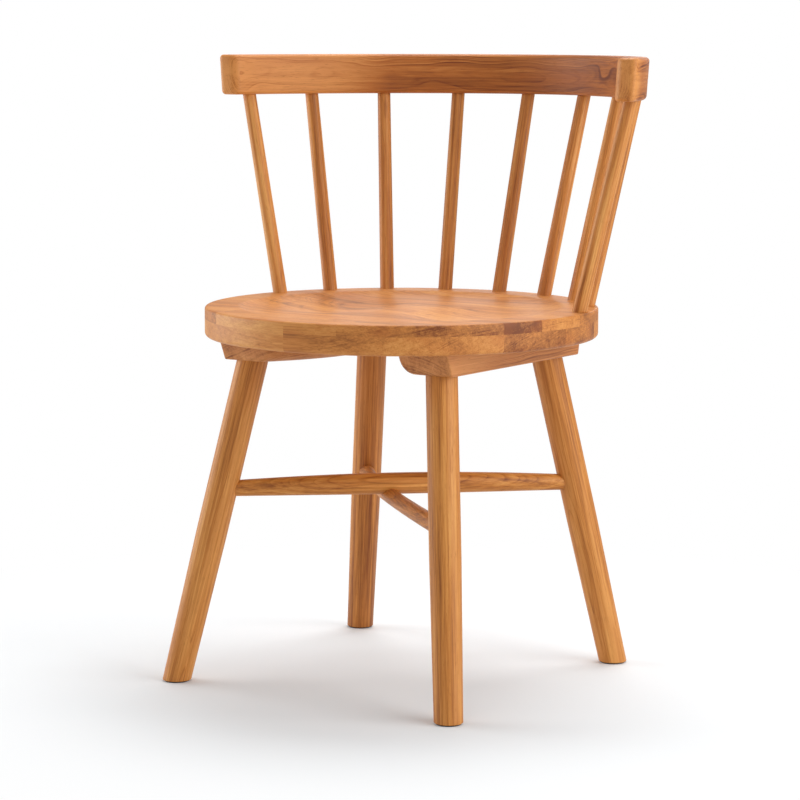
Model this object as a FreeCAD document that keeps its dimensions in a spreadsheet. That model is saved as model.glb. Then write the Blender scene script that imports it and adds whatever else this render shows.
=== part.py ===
import FreeCAD, Part
import Sketcher
import os
import re
from math import acos, cos, pi, radians, sin

from FreeCAD import Placement, Rotation, Vector

# A round-seated spindle-back wooden chair, in millimetres.
# +Z is up and the front faces -Y. The pieces are drawn round the middle of the seat; at the end
# they move together so that the origin lies on the floor under the middle of the whole chair.

doc = FreeCAD.newDocument("windsor_chair")

# Two places nearer than this count as one, and a search by halves takes this many steps
TOUCHING = 0.01
HALVINGS = 40

# Driving dimensions
SIZES = {
    # seat: two glued layers of boards that run from side to side
    "seat_top": 450,
    "seat_radius": 237,
    "upper_layer": 13.5,
    "lower_layer": 22,
    "seat_top_round": 3,
    "seat_bottom_round": 5,
    "dish_radius": 195,
    "dish_depth": 5,
    "hollow_radius": 128,
    "hollow_depth": 9,
    "hollow_offset": 100,
    "hollow_back": 8,
    # places of the glue lines between the boards, from the middle of the seat
    "upper_glue_a": -107,
    "upper_glue_b": -55,
    "upper_glue_c": 22,
    "upper_glue_d": 98,
    "upper_glue_e": 168,
    "lower_glue_a": -107,
    "lower_glue_b": -12,
    "lower_glue_c": 74,
    "lower_glue_d": 158,
    # places of the butt joints along the front board of each layer
    "upper_butt_a": -130,
    "upper_butt_b": -4.5,
    "upper_butt_c": 38,
    "upper_butt_d": 63,
    "lower_butt_a": -114,
    "lower_butt_b": -4.5,
    # crest rail: a back arc that runs into two flatter arms
    "rail_height": 50,
    "rail_thickness": 27,
    "rail_underside": 698,
    "rail_back": 292,
    "rail_back_radius": 232.8,
    "rail_back_angle": 32.1,
    "rail_arm_radius": 366.4,
    "rail_arm_angle": 70,
    "rail_end": 32,
    "rail_lean": 3.5,
    "rail_round": 5,
    "rail_end_round": 9,
    # spindles
    "spindle_count": 9,
    "spindle_seat_radius": 8.9,
    "spindle_rail_radius": 8.2,
    "spindle_inset": 13,
    "spindle_angle": 19.2,
    "spindle_spacing": 96.4,
    "spindle_end_spacing": 90,
    "spindle_seat_depth": 22,
    "spindle_rail_depth": 17,
    "spindle_chamfer": 1,
    # bearers: two boards from front to back under the seat, each with one curved side
    "bearer_thickness": 27.5,
    "bearer_outside_front": 162.5,
    "bearer_outside_back": 162.5,
    "bearer_inside_end": 98,
    "bearer_inside_middle": 43,
    "bearer_front": 151,
    "bearer_back": 152,
    "bearer_front_undercut": 12,
    "bearer_back_undercut": 6,
    "bearer_round": 24,
    # legs
    "leg_radius": 18.6,
    "leg_foot_radius": 16.5,
    "leg_taper_start": 215,
    "leg_tenon_radius": 12.5,
    "leg_tenon_gap": 1.5,
    "front_leg_top_side": 135,
    "front_leg_top_ahead": 119.2,
    "front_leg_foot_side": 195.2,
    "front_leg_foot_ahead": 195.7,
    "back_leg_top_side": 128.3,
    "back_leg_top_behind": 126,
    "back_leg_foot_side": 190.8,
    "back_leg_foot_behind": 189.5,
    # glides under the feet
    "glide_radius": 15,
    "glide_thickness": 1.6,
    "glide_chamfer": 0.5,
    "glide_pin_radius": 1.2,
    "glide_pin_length": 12,
    # crossed stretchers
    "stretcher_bow": 20,
    "stretcher_tenon": 14,
    "main_stretcher_start_height": 231.5,
    "main_stretcher_end_height": 228,
    "main_stretcher_rise": 6,
    "main_stretcher_end_radius": 9.3,
    "main_stretcher_middle_radius": 13,
    "under_stretcher_start_height": 213,
    "under_stretcher_end_height": 213,
    "under_stretcher_rise": 8,
    "under_stretcher_end_radius": 10.2,
    "under_stretcher_middle_radius": 9.4,
    # screws
    "screw_radius": 2.2,
    "screw_head_radius": 4.2,
    "bearer_screw_length": 42,
    "bearer_screw_spread": 50,
    "crossing_screw_length": 24,
    "crossing_screw_sink": 1.2,
    "screw_mouth": 3,
    # clearances
    "joint_gap": 0.2,
    "bore_end_gap": 1,
    "cope_gap": 0.25,
    "screw_gap": 0.15,
}

sheet = doc.addObject("Spreadsheet::Sheet", "sizes")
for row, (name, value) in enumerate(SIZES.items(), start=1):
    sheet.set(f"A{row}", name)
    sheet.set(f"B{row}", str(value))
    sheet.setAlias(f"B{row}", name)
doc.recompute()


def size(name):
    """The value that the sheet holds under this name."""
    return float(sheet.get(name))


def record(name, value):
    """Adds a worked-out size to the sheet, so that pieces can be bound to it."""
    SIZES[name] = value
    cell = f"B{len(SIZES)}"
    sheet.set(f"A{len(SIZES)}", name)
    sheet.set(cell, str(value))
    sheet.setAlias(cell, name)
    sheet.recompute()
    return name


def formula(text):
    """The text with each size's name written as a reference to the sheet."""
    return re.sub(r"[a-z_]+[0-9]*", lambda word: f"sizes.{word[0]}" if word[0] in SIZES else word[0], text)


def bind(item, **formulas):
    for name, text in formulas.items():
        item.setExpression(name, formula(text))


def value_of(text):
    """The present value of a formula, for the first shape of a sketch."""
    names = {name: size(name) for name in SIZES}
    for name in sorted(names, key=len, reverse=True):
        text = re.sub(rf"\b{name}\b", repr(names[name]), text)
    return float(FreeCAD.Units.Quantity(text).Value)


SEAT_UNDERSIDE = "seat_top - upper_layer - lower_layer"
BEARER_UNDERSIDE = SEAT_UNDERSIDE + " - bearer_thickness"
seat_underside = size("seat_top") - size("upper_layer") - size("lower_layer")
bearer_underside = seat_underside - size("bearer_thickness")


def new_body(label):
    body = doc.addObject("PartDesign::Body", label)
    body.Label = label
    return body


def origin_plane(body, role):
    return next(item for item in body.Origin.OriginFeatures if item.Role == role)


def outline_sketch(body, name, corners, plane="XZ_Plane", closed=True):
    """Straight lines through corners that are held by dimensions bound to the sheet."""
    sketch = body.newObject("Sketcher::SketchObject", name)
    sketch.AttachmentSupport = (origin_plane(body, plane), [""])
    sketch.MapMode = "FlatFace"
    points = [Vector(value_of(across), value_of(up), 0) for across, up in corners]
    count = len(points)
    sides = count if closed else count - 1
    for index in range(sides):
        sketch.addGeometry(Part.LineSegment(points[index], points[(index + 1) % count]), False)
    sketch.addConstraint([joined(index, sides) for index in range(count if closed else sides - 1)])
    for index, (across, up) in enumerate(corners):
        line, end = (index, 1) if index < sides else (sides - 1, 2)
        for kind, text, now in (("DistanceX", across, points[index].x), ("DistanceY", up, points[index].y)):
            if text == "0":
                axis = -2 if kind == "DistanceX" else -1
                sketch.addConstraint(constraint("PointOnObject", line, end, axis))
                continue
            key = f"{kind}{index}"
            number = sketch.addConstraint(constraint(kind, -1, 1, line, end, now))
            sketch.renameConstraint(number, key)
            sketch.setExpression(f"Constraints.{key}", formula(text))
    return sketch


def constraint(*values):
    return Sketcher.Constraint(*values)


def joined(index, count):
    return constraint("Coincident", index, 2, (index + 1) % count, 1)


def turned(label, corners):
    """A body turned about its own Z axis; each corner is a radius and a height."""
    body = new_body(label)
    sketch = outline_sketch(body, f"{label}_profile", corners)
    turn = body.newObject("PartDesign::Revolution", f"{label}_turning")
    turn.Profile = sketch
    turn.ReferenceAxis = (sketch, ["V_Axis"])
    turn.Angle = 360
    return body


def rod(name, radius, length, start, direction):
    """A plain round rod, used for a bore or a tenon."""
    item = doc.addObject("Part::Cylinder", name)
    bind(item, Radius=radius, Height=length)
    item.Placement = Placement(start, Rotation(Vector(0, 0, 1), direction))
    return item


def joined_parts(name, items):
    fuse = doc.addObject("Part::MultiFuse", name)
    fuse.Shapes = items
    return fuse


def cut(label, base, tool):
    result = doc.addObject("Part::Cut", label)
    result.Label = label
    result.Base = base
    result.Tool = tool
    return result


def common(label, base, tool):
    result = doc.addObject("Part::Common", label)
    result.Label = label
    result.Base = base
    result.Tool = tool
    return result


nodes = []


def keep(item):
    """Marks an object as one of the chair's pieces."""
    nodes.append(item)
    return item


# Where the crest rail's middle line runs in plan
back_radius = size("rail_back_radius")
back_angle = radians(size("rail_back_angle"))
arm_radius = size("rail_arm_radius")
back_centre = size("rail_back") - back_radius
arm_shift = arm_radius - back_radius


def rail_point(along):
    """A place on the middle line of the rail's underside, a distance along it from the back."""
    turn = abs(along) / back_radius
    centre_x, centre_y, reach = 0.0, back_centre, back_radius
    if turn > back_angle:
        turn = back_angle + (abs(along) - back_radius * back_angle) / arm_radius
        centre_x = -arm_shift * sin(back_angle)
        centre_y = back_centre - arm_shift * cos(back_angle)
        reach = arm_radius
    side = 1 if along >= 0 else -1
    return Vector(side * (centre_x + reach * sin(turn)), centre_y + reach * cos(turn), size("rail_underside"))


# Where each spindle runs, from the seat's top to the rail's underside
spindle_lines = []
half_count = (int(size("spindle_count")) - 1) // 2
for step in range(-half_count, half_count + 1):
    angle = radians(size("spindle_angle")) * step
    low = Vector(sin(angle), cos(angle), 0) * (size("seat_radius") - size("spindle_inset")) + Vector(0, 0, size("seat_top"))
    along = size("spindle_spacing") * step
    if abs(step) == half_count:
        along = (size("spindle_spacing") * (half_count - 1) + size("spindle_end_spacing")) * (step / half_count)
    high = rail_point(along)
    spindle_lines.append((low, high))


# Where each leg runs, from the floor to the bearer's underside
leg_lines = {}
for where, way in (("front", -1), ("back", 1)):
    depth = "ahead" if where == "front" else "behind"
    for hand, side in (("left", -1), ("right", 1)):
        foot = Vector(side * size(f"{where}_leg_foot_side"), way * size(f"{where}_leg_foot_{depth}"), 0)
        top = Vector(side * size(f"{where}_leg_top_side"), way * size(f"{where}_leg_top_{depth}"), bearer_underside)
        leg_lines[f"{where}_{hand}"] = (foot, top)


def leg_point(name, height):
    foot, top = leg_lines[name]
    return foot + (top - foot) * (height / top.z)


def bearer_side(y):
    """How far the outer side of a bearer stands from the chair's middle plane."""
    front, back = -size("bearer_front"), size("bearer_back")
    share = (y - front) / (back - front)
    return size("bearer_outside_front") * (1 - share) + size("bearer_outside_back") * share


# Screws that hold the bearers to the seat: their places on the bearer's underside
screw_places = []
for side in (-1, 1):
    for step in (-1, 0, 1):
        y = (size("bearer_back") - size("bearer_front")) / 2 + step * size("bearer_screw_spread")
        across = (bearer_side(y) + size("bearer_inside_middle")) / 2
        screw_places.append(Vector(side * across, y, bearer_underside))


# Seat: one turned form, dished on top and bored, then divided into its boards
seat_form = turned("seat_form", [
    ("0", SEAT_UNDERSIDE),
    ("seat_radius", SEAT_UNDERSIDE),
    ("seat_radius", "seat_top"),
    ("0", "seat_top"),
])
doc.recompute()


def rim_edge(body, height):
    """The name of the seat's outer circle at a height."""
    for number, edge in enumerate(body.Shape.Edges, start=1):
        if isinstance(edge.Curve, Part.Circle) and abs(edge.Curve.Center.z - height) < TOUCHING:
            if abs(edge.Curve.Radius - size("seat_radius")) < TOUCHING:
                return f"Edge{number}"


for name, height, radius in (
    ("seat_top_edge", size("seat_top"), "seat_top_round"),
    ("seat_bottom_edge", seat_underside, "seat_bottom_round"),
):
    turned_so_far = seat_form.Tip
    edge_name = rim_edge(seat_form, height)
    rounding = seat_form.newObject("PartDesign::Fillet", name)
    rounding.Base = (turned_so_far, [edge_name])
    bind(rounding, Radius=radius)
    doc.recompute()


def scoop(name, radius, depth, x, y):
    """A large ball that takes a shallow round hollow out of the seat's top."""
    ball = doc.addObject("Part::Sphere", name)
    bind(ball, Radius=f"({radius} * {radius} + {depth} * {depth}) / (2 * {depth})")
    reach = (size(radius) ** 2 + size(depth) ** 2) / (2 * size(depth))
    ball.Placement.Base = Vector(x, y, size("seat_top") - size(depth) + reach)
    return ball


seat_scoops = [
    scoop("dish", "dish_radius", "dish_depth", 0, 0),
    scoop("left_hollow", "hollow_radius", "hollow_depth", -size("hollow_offset"), size("hollow_back")),
    scoop("right_hollow", "hollow_radius", "hollow_depth", size("hollow_offset"), size("hollow_back")),
]
seat_dished = seat_form
for number, ball in enumerate(seat_scoops, start=1):
    seat_dished = cut(f"seat_dished_{number}", seat_dished, ball)

seat_bores = []
for number, (low, high) in enumerate(spindle_lines, start=1):
    down = (low - high).normalize()
    seat_bores.append(rod(
        f"seat_bore_{number}", "spindle_seat_radius + joint_gap",
        "2 * (spindle_seat_depth + bore_end_gap)",
        low - down * (size("spindle_seat_depth") + size("bore_end_gap")), down,
    ))


def screw(name, length, place, gap="0", extra="0"):
    """A countersunk wood screw driven upward, its head flush at the given place."""
    shank = rod(f"{name}_shank", f"screw_radius + {gap}", f"{length} + {extra}", place, Vector(0, 0, 1))
    head = doc.addObject("Part::Cone", f"{name}_head")
    bind(
        head, Radius1=f"screw_head_radius + {gap}", Radius2=f"screw_radius + {gap}",
        Height="screw_head_radius - screw_radius",
    )
    head.Placement.Base = place
    return joined_parts(name, [shank, head])


def screw_hole(name, length, place):
    """The hole for such a screw, with the screw's clearance and an open mouth below it."""
    mouth = rod(f"{name}_mouth", "screw_head_radius + screw_gap", "screw_mouth", place, Vector(0, 0, -1))
    hole = screw(f"{name}_thread", length, place, "screw_gap", "bore_end_gap")
    return joined_parts(name, [hole, mouth])


bearer_holes = []
for number, place in enumerate(screw_places, start=1):
    bearer_holes.append(screw_hole(f"bearer_screw_hole_{number}", "bearer_screw_length", place))

seat_tools = joined_parts("seat_tools", seat_bores + bearer_holes)
seat_bored = cut("seat_bored", seat_dished, seat_tools)


def board(label, low_x, high_x, low_y, high_y, low_z, high_z):
    """One board of the seat: the part of the bored form between the given planes."""
    box = doc.addObject("Part::Box", f"{label}_block")
    bind(
        box, Length=f"({high_x}) - ({low_x})", Width=f"({high_y}) - ({low_y})",
        Height=f"({high_z}) - ({low_z})",
    )
    box.setExpression("Placement.Base.x", formula(low_x))
    box.setExpression("Placement.Base.y", formula(low_y))
    box.setExpression("Placement.Base.z", formula(low_z))
    return keep(common(label, seat_bored, box))


def layer(name, glue_lines, butts, low_z, high_z):
    """A layer of boards: a front board in lengths, then whole boards behind it."""
    ends = ["-seat_radius"] + butts + ["seat_radius"]
    for number in range(len(ends) - 1):
        board(f"{name}_front_board_{number + 1}", ends[number], ends[number + 1],
              "-seat_radius", glue_lines[0], low_z, high_z)
    sides = glue_lines + ["seat_radius"]
    for number in range(len(sides) - 1):
        board(f"{name}_board_{number + 1}", "-seat_radius", "seat_radius",
              sides[number], sides[number + 1], low_z, high_z)


layer(
    "seat_upper", [f"upper_glue_{letter}" for letter in "abcde"],
    [f"upper_butt_{letter}" for letter in "abcd"], "seat_top - upper_layer", "seat_top",
)
layer(
    "seat_lower", [f"lower_glue_{letter}" for letter in "abcd"],
    [f"lower_butt_{letter}" for letter in "ab"], SEAT_UNDERSIDE, "seat_top - upper_layer",
)


# Crest rail: a leaning section turned about the back centre, then about each arm's centre
rail_form = new_body("rail_form")
rail_form.Placement.Base = Vector(0, back_centre, size("rail_underside"))
RAIL_SECTION = [
    ("rail_back_radius - rail_thickness / 2", "0"),
    ("rail_back_radius + rail_thickness / 2", "0"),
    ("rail_back_radius + rail_thickness / 2 + rail_lean", "rail_height"),
    ("rail_back_radius - rail_thickness / 2 + rail_lean", "rail_height"),
]
back_section = outline_sketch(rail_form, "rail_back_section", RAIL_SECTION, "YZ_Plane")
back_arc = rail_form.newObject("PartDesign::Revolution", "rail_back_arc")
back_arc.Profile = back_section
back_arc.ReferenceAxis = (back_section, ["V_Axis"])
bind(back_arc, Angle="2 * rail_back_angle")
back_arc.Midplane = True

arm_section = outline_sketch(rail_form, "rail_arm_section", RAIL_SECTION, "YZ_Plane")
arm_section.AttachmentOffset = Placement(Vector(), Rotation(Vector(0, 1, 0), -size("rail_back_angle")))
axis_x = -arm_shift
axis_line = arm_section.addGeometry(Part.LineSegment(Vector(axis_x, 0, 0), Vector(axis_x, size("rail_height"), 0)), True)
for kind, point, text, now in (
    ("DistanceX", 1, "rail_back_radius - rail_arm_radius", axis_x),
    ("DistanceX", 2, "rail_back_radius - rail_arm_radius", axis_x),
    ("DistanceY", 2, "rail_height", size("rail_height")),
):
    number = arm_section.addConstraint(constraint(kind, -1, 1, axis_line, point, now))
    arm_section.renameConstraint(number, f"axis_{kind}{point}")
    arm_section.setExpression(f"Constraints.axis_{kind}{point}", formula(text))
arm_section.addConstraint(constraint("PointOnObject", axis_line, 1, -1))
right_arm = rail_form.newObject("PartDesign::Revolution", "rail_right_arm")
right_arm.Profile = arm_section
right_arm.ReferenceAxis = (arm_section, ["Axis0"])
bind(right_arm, Angle="rail_arm_angle")
right_arm.Reversed = True
doc.recompute()

left_arm = rail_form.newObject("PartDesign::Mirrored", "rail_left_arm")
left_arm.Originals = [right_arm]
left_arm.MirrorPlane = (origin_plane(rail_form, "YZ_Plane"), [""])
rail_form.Tip = left_arm
doc.recompute()

rail_trim = outline_sketch(rail_form, "rail_trim_outline", [
    ("-2 * rail_back_radius", "rail_end - rail_back + rail_back_radius"),
    ("2 * rail_back_radius", "rail_end - rail_back + rail_back_radius"),
    ("2 * rail_back_radius", "-2 * rail_back_radius"),
    ("-2 * rail_back_radius", "-2 * rail_back_radius"),
], "XY_Plane")
square_ends = rail_form.newObject("PartDesign::Pocket", "rail_square_ends")
square_ends.Profile = rail_trim
square_ends.Type = "ThroughAll"
square_ends.Reversed = True
untrimmed = rail_form.Shape.Volume
doc.recompute()
print("rail trimmed from", round(untrimmed), "to", round(rail_form.Shape.Volume))


def rail_edges(feature, upright):
    """The upright edges of the end faces, or all edges that stay level, but not the seams between the arcs."""
    end_place = size("rail_end") - back_centre
    names = []
    for number, edge in enumerate(feature.Shape.Edges, start=1):
        heights = [vertex.Z for vertex in edge.Vertexes]
        level = max(heights) - min(heights) < TOUCHING
        at_end = all(abs(vertex.Y - end_place) < TOUCHING for vertex in edge.Vertexes)
        if (at_end and not level) if upright else level:
            names.append(f"Edge{number}")
    return names


rounded = square_ends
for label, radius_name, upright in (
    ("rail_end_rounding", "rail_end_round", True),
    ("rail_rounding", "rail_round", False),
):
    rounding = rail_form.newObject("PartDesign::Fillet", label)
    rounding.Base = (rounded, rail_edges(rounded, upright))
    bind(rounding, Radius=radius_name)
    rail_form.Tip = rounding
    doc.recompute()
    rounded = rounding

rail_bores = []
for number, (low, high) in enumerate(spindle_lines, start=1):
    up = (high - low).normalize()
    rail_bores.append(rod(
        f"rail_bore_{number}", "spindle_rail_radius + joint_gap",
        "2 * (spindle_rail_depth + bore_end_gap)",
        high - up * (size("spindle_rail_depth") + size("bore_end_gap")), up,
    ))
keep(cut("crest_rail", rail_form, joined_parts("rail_bores", rail_bores)))


# Spindles: turned rods that taper from the seat to the rail and sit in blind bores
for number, (low, high) in enumerate(spindle_lines, start=1):
    span = record(f"spindle_span_{number}", (high - low).Length)
    length = f"spindle_seat_depth + {span} + spindle_rail_depth"
    spindle = turned(f"spindle_{number}", [
        ("0", "0"),
        ("spindle_seat_radius - spindle_chamfer", "0"),
        ("spindle_seat_radius", "spindle_chamfer"),
        ("spindle_seat_radius", "spindle_seat_depth"),
        ("spindle_rail_radius", f"spindle_seat_depth + {span}"),
        ("spindle_rail_radius", f"{length} - spindle_chamfer"),
        ("spindle_rail_radius - spindle_chamfer", length),
        ("0", length),
    ])
    up = (high - low).normalize()
    spindle.Placement = Placement(low - up * size("spindle_seat_depth"), Rotation(Vector(0, 0, 1), up))
    keep(spindle)


# Bearers: the right one is drawn and the left one is its mirror image
bearer_form = new_body("bearer_form")
bearer_form.Placement.Base = Vector(0, 0, bearer_underside)
BEARER_CORNERS = [
    ("bearer_inside_end", "-bearer_front"),
    ("bearer_outside_front", "-bearer_front"),
    ("bearer_outside_back", "bearer_back"),
    ("bearer_inside_end", "bearer_back"),
]
bearer_plan = outline_sketch(bearer_form, "bearer_plan", BEARER_CORNERS, "XY_Plane", closed=False)
corner_places = [Vector(value_of(across), value_of(along), 0) for across, along in BEARER_CORNERS]
arc_middle = Vector(size("bearer_inside_middle"), (size("bearer_back") - size("bearer_front")) / 2, 0)
inner_arc = bearer_plan.addGeometry(Part.Arc(corner_places[3], arc_middle, corner_places[0]), False)
arc_ends = (1, 2) if bearer_plan.Geometry[inner_arc].StartPoint.distanceToPoint(corner_places[3]) < 1 else (2, 1)
bearer_plan.addConstraint(constraint("Coincident", inner_arc, arc_ends[0], 2, 2))
bearer_plan.addConstraint(constraint("Coincident", inner_arc, arc_ends[1], 0, 1))
arc_number = bearer_plan.addConstraint(constraint("Radius", inner_arc, bearer_plan.Geometry[inner_arc].Radius))
bearer_plan.renameConstraint(arc_number, "inner_radius")
BEARER_CHORD = "(bearer_front + bearer_back) * (bearer_front + bearer_back) / 4"
BEARER_DEPTH = "(bearer_inside_end - bearer_inside_middle)"
bearer_plan.setExpression("Constraints.inner_radius", formula(
    f"({BEARER_CHORD} + {BEARER_DEPTH} * {BEARER_DEPTH}) / (2 * {BEARER_DEPTH})"
))
bearer_pad = bearer_form.newObject("PartDesign::Pad", "bearer_board")
bearer_pad.Profile = bearer_plan
bind(bearer_pad, Length="bearer_thickness")
doc.recompute()
for name, end, inward in (("front", "-bearer_front", "+"), ("back", "bearer_back", "-")):
    wedge = outline_sketch(bearer_form, f"bearer_{name}_wedge", [
        (end, "0"),
        (f"{end} {inward} bearer_{name}_undercut", "0"),
        (end, "bearer_thickness"),
    ], "YZ_Plane")
    undercut = bearer_form.newObject("PartDesign::Pocket", f"bearer_{name}_undercut")
    undercut.Profile = wedge
    undercut.Type = "ThroughAll"
    undercut.Midplane = True
    doc.recompute()

bearer_rounding = bearer_form.newObject("PartDesign::Fillet", "bearer_rounding")
bearer_rounding.Base = (undercut, [
    f"Edge{number}" for number, edge in enumerate(undercut.Shape.Edges, start=1)
    if isinstance(edge.Curve, Part.Circle) and abs(edge.Curve.Center.z) < TOUCHING
])
bind(bearer_rounding, Radius="bearer_round")
bearer_form.Tip = bearer_rounding
doc.recompute()

mirrored_bearer = doc.addObject("Part::Mirroring", "mirrored_bearer")
mirrored_bearer.Source = bearer_form
mirrored_bearer.Normal = Vector(1, 0, 0)
for hand, form in (("left", mirrored_bearer), ("right", bearer_form)):
    tools = []
    for where in ("front", "back"):
        foot, top = leg_lines[f"{where}_{hand}"]
        up = (top - foot).normalize()
        tools.append(rod(
            f"bearer_{where}_{hand}_socket", "leg_tenon_radius + joint_gap", "3 * bearer_thickness",
            top - up * size("bearer_thickness"), up,
        ))
    side = -1 if hand == "left" else 1
    tools += [hole for hole, place in zip(bearer_holes, screw_places) if place.x * side > 0]
    keep(cut(f"bearer_{hand}", form, joined_parts(f"bearer_{hand}_tools", tools)))

screws = [
    screw(f"bearer_screw_{number}", "bearer_screw_length", place)
    for number, place in enumerate(screw_places, start=1)
]
keep(joined_parts("bearer_screws", screws))


# Stretchers: two swelled bars that bow forward and cross, one over the other
class Bar:
    """The bent middle line and the swelling of one stretcher."""

    def __init__(self, name, start_leg, end_leg):
        self.name = name
        self.start = leg_point(start_leg, size(f"{name}_start_height"))
        self.end = leg_point(end_leg, size(f"{name}_end_height"))
        span = self.end - self.start
        self.length = span.Length
        outward = Vector(span.y, -span.x, 0).normalize()
        if outward.y > 0:
            outward = outward * -1
        self.bend = outward * size("stretcher_bow") + Vector(0, 0, size(f"{name}_rise"))
        self.surface = size("leg_radius") / self.length
        self.tip = (size("leg_radius") - size("stretcher_tenon")) / self.length

    def point(self, share):
        return self.start + (self.end - self.start) * share + self.bend * (4 * share * (1 - share))

    def direction(self, share):
        return ((self.end - self.start) + self.bend * (4 * (1 - 2 * share))).normalize()

    def swelling(self, share):
        """Nothing in the legs, rising to one in the middle."""
        free = (share - self.surface) / (1 - 2 * self.surface)
        return round(sin(pi * free), 4) if 0 < free < 1 else 0

    def solid(self, label, extra="0"):
        sections = []
        shares = [self.tip, self.surface] + [number / 10 for number in range(1, 10)]
        shares += [1 - self.surface, 1 - self.tip]
        for number, share in enumerate(shares):
            ring = doc.addObject("Part::Circle", f"{label}_section_{number}")
            middle, end = f"{self.name}_middle_radius", f"{self.name}_end_radius"
            bind(ring, Radius=f"{end} + ({middle} - {end}) * {self.swelling(share)} + {extra}")
            ring.Placement = Placement(self.point(share), Rotation(Vector(0, 0, 1), self.direction(share)))
            sections.append(ring)
        loft = doc.addObject("Part::Loft", label)
        loft.Sections = sections
        loft.Solid = True
        return loft

    def mortise(self, at_start):
        """The blind hole in the leg at one end of the bar."""
        way = 1 if at_start else -1
        tip = self.tip if at_start else 1 - self.tip
        rim = self.surface if at_start else 1 - self.surface
        along = self.direction((tip + rim) / 2) * way
        place = self.point(tip) - along * size("bore_end_gap")
        name = f"{self.name}_{'start' if at_start else 'end'}_mortise"
        return rod(name, f"{self.name}_end_radius + joint_gap", "bore_end_gap + 2 * stretcher_tenon", place, along)


main_bar = Bar("main_stretcher", "front_left", "back_right")
under_bar = Bar("under_stretcher", "front_right", "back_left")


def middle_share(bar):
    """How far along the bar its middle line crosses the chair's middle plane."""
    low, high = 0.3, 0.7
    for step in range(HALVINGS):
        share = (low + high) / 2
        if (bar.point(share).x < 0) == (bar.start.x < 0):
            low = share
        else:
            high = share
    return share


under_share = middle_share(under_bar)
under_radius = size("under_stretcher_end_radius") + under_bar.swelling(under_share) * (
    size("under_stretcher_middle_radius") - size("under_stretcher_end_radius")
)
crossing_place = under_bar.point(under_share) - Vector(0, 0, under_radius - size("crossing_screw_sink"))
crossing_hole = screw_hole("crossing_screw_hole", "crossing_screw_length", crossing_place)
cope = main_bar.solid("cope", "cope_gap")
keep(cut("stretcher_over", main_bar.solid("main_stretcher_form"), crossing_hole))
keep(cut(
    "stretcher_under", under_bar.solid("under_stretcher_form"),
    joined_parts("under_stretcher_tools", [cope, crossing_hole]),
))
crossing_screw = keep(screw("crossing_screw", "crossing_screw_length", crossing_place))


# Legs: turned, cut level at the floor and at the bearer, with a round tenon above
mortises = {
    "front_left": main_bar.mortise(True),
    "back_right": main_bar.mortise(False),
    "front_right": under_bar.mortise(True),
    "back_left": under_bar.mortise(False),
}
for name, (foot, top) in leg_lines.items():
    axis = (top - foot).normalize()
    lean = acos(axis.z)
    length = record(f"{name}_leg_length", (top - foot).Length)
    blank = turned(f"leg_{name}_blank", [
        ("0", "-leg_foot_radius"),
        ("leg_foot_radius", "-leg_foot_radius"),
        ("leg_foot_radius", "0"),
        ("leg_radius", "leg_taper_start"),
        ("leg_radius", f"{length} + leg_radius"),
        ("0", f"{length} + leg_radius"),
    ])
    blank.Placement = Placement(foot, Rotation(Vector(0, 0, 1), axis))
    slab = doc.addObject("Part::Box", f"leg_{name}_slab")
    bind(
        slab, Length="4 * seat_radius", Width="4 * seat_radius",
        Height=f"{BEARER_UNDERSIDE} - glide_thickness",
    )
    slab.Placement.Base = Vector(-2 * size("seat_radius"), -2 * size("seat_radius"), size("glide_thickness"))
    shaft = common(f"leg_{name}_shaft", blank, slab)
    room = size("bearer_thickness") - size("leg_tenon_gap") - size("leg_tenon_radius") * sin(lean)
    reach = record(f"{name}_tenon_reach", room / cos(lean))
    tenon = rod(
        f"leg_{name}_tenon", "leg_tenon_radius", f"{reach} + leg_tenon_radius",
        top - axis * size("leg_tenon_radius"), axis,
    )
    glide_place = leg_point(name, size("glide_thickness"))
    glide_place.z = 0
    pin_bore = rod(
        f"leg_{name}_pin_bore", "glide_pin_radius + joint_gap",
        "glide_thickness + glide_pin_length + bore_end_gap", glide_place, Vector(0, 0, 1),
    )
    whole = joined_parts(f"leg_{name}_whole", [shaft, tenon])
    keep(cut(f"leg_{name}", whole, joined_parts(f"leg_{name}_tools", [mortises[name], pin_bore])))

    glide = turned(f"glide_{name}", [
        ("0", "0"),
        ("glide_radius - glide_chamfer", "0"),
        ("glide_radius", "glide_chamfer"),
        ("glide_radius", "glide_thickness"),
        ("glide_pin_radius", "glide_thickness"),
        ("glide_pin_radius", "glide_thickness + glide_pin_length"),
        ("0", "glide_thickness + glide_pin_length"),
    ])
    glide.Placement.Base = glide_place
    keep(glide)


doc.recompute()


# The origin: midway between the seat's front and the back of the crest rail
rail_box = nodes[[node.Label for node in nodes].index("crest_rail")].Shape.optimalBoundingBox()
middle_shift = Vector(0, (size("seat_radius") - rail_box.YMax) / 2, 0)
for node in nodes:
    node.Placement.Base = node.Placement.Base + middle_shift
print("seat centre moved to y", round(middle_shift.y, 3))

doc.recompute()
for item in doc.Objects:
    if "Invalid" in item.State or "Error" in item.State:
        raise RuntimeError(f"{item.Label} failed: {item.State}")
for node in nodes:
    if node.Shape.isNull() or not node.Shape.isValid():
        raise RuntimeError(f"{node.Label} has no valid shape")

os.makedirs("parts", exist_ok=True)
for node in nodes:
    shape = node.Shape
    shape.exportStep(f"parts/{node.Label}.step")
    box = shape.BoundBox
    print(f"{node.Label}: {len(shape.Solids)} solid, {shape.Volume / 1000:.1f} cm3, z {box.ZMin:.1f} to {box.ZMax:.1f}")
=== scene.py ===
# %% [markdown]
# # A wooden chair with a round seat and a spindle back
# The chair's construction is loaded as a fixed frame of plain solids, in metres, with the floor
# at z = 0 and the front facing -Y. Each cell below makes one kind of piece, gives it the finish
# of oiled hardwood and lays it over the solid that it stands for.

# %% The frame and its size
import math
import random

import bmesh
import bpy
import numpy as np
from mathutils import Matrix, Vector


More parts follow.
